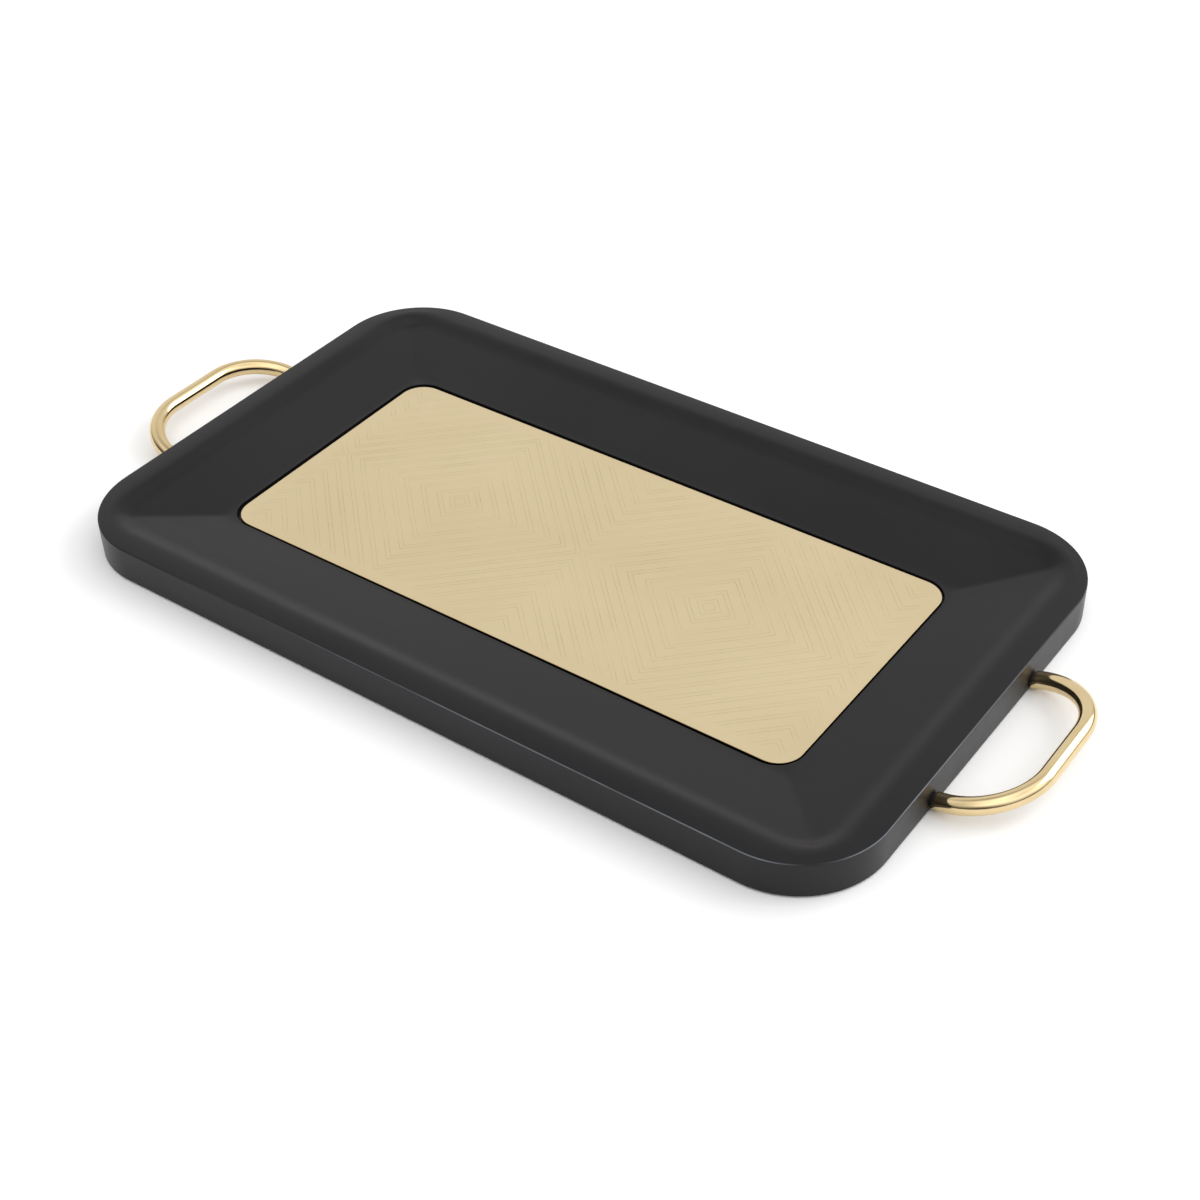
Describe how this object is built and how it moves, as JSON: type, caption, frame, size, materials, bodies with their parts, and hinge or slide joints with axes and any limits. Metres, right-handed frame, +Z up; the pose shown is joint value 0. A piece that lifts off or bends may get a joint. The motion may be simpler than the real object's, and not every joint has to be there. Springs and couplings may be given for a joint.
{
  "type": "serving tray",
  "caption": "Long rectangular serving tray: dark board with a dished sloping rim, an engraved brass plate let into the middle and a rounded rod handle at each end.",
  "frame": {"origin": "on the floor under the centre of the board", "axes": "+X along the long side towards the right handle, +Y from the front long side towards the rear one, +Z up"},
  "size_m": [0.5343, 0.27, 0.0202],
  "materials": {
    "board_wood": "black satin lacquer, no visible grain",
    "plate_brass": "pale satin brass, engraved",
    "handle_brass": "polished brass",
    "stud_steel": "zinc plated",
    "insert_brass": "plain turned brass",
    "spacer_fibre": "black fibre",
    "felt": "dark grey felt",
    "adhesive": "cured adhesive film"
  },
  "bodies": {
    "root": {"board": "board_wood", "brass_plate": "plate_brass", "adhesive_film": "adhesive", "handle_left": "handle_brass", "handle_right": "handle_brass", "stud_left_front": "stud_steel", "stud_left_rear": "stud_steel", "stud_right_front": "stud_steel", "stud_right_rear": "stud_steel", "insert_left_front": "insert_brass", "insert_left_rear": "insert_brass", "insert_right_front": "insert_brass", "insert_right_rear": "insert_brass", "spacer_left_front": "spacer_fibre", "spacer_left_rear": "spacer_fibre", "spacer_right_front": "spacer_fibre", "spacer_right_rear": "spacer_fibre", "foot_left_front": "felt", "foot_left_rear": "felt", "foot_right_front": "felt", "foot_right_rear": "felt"}
  },
  "joints": []
}
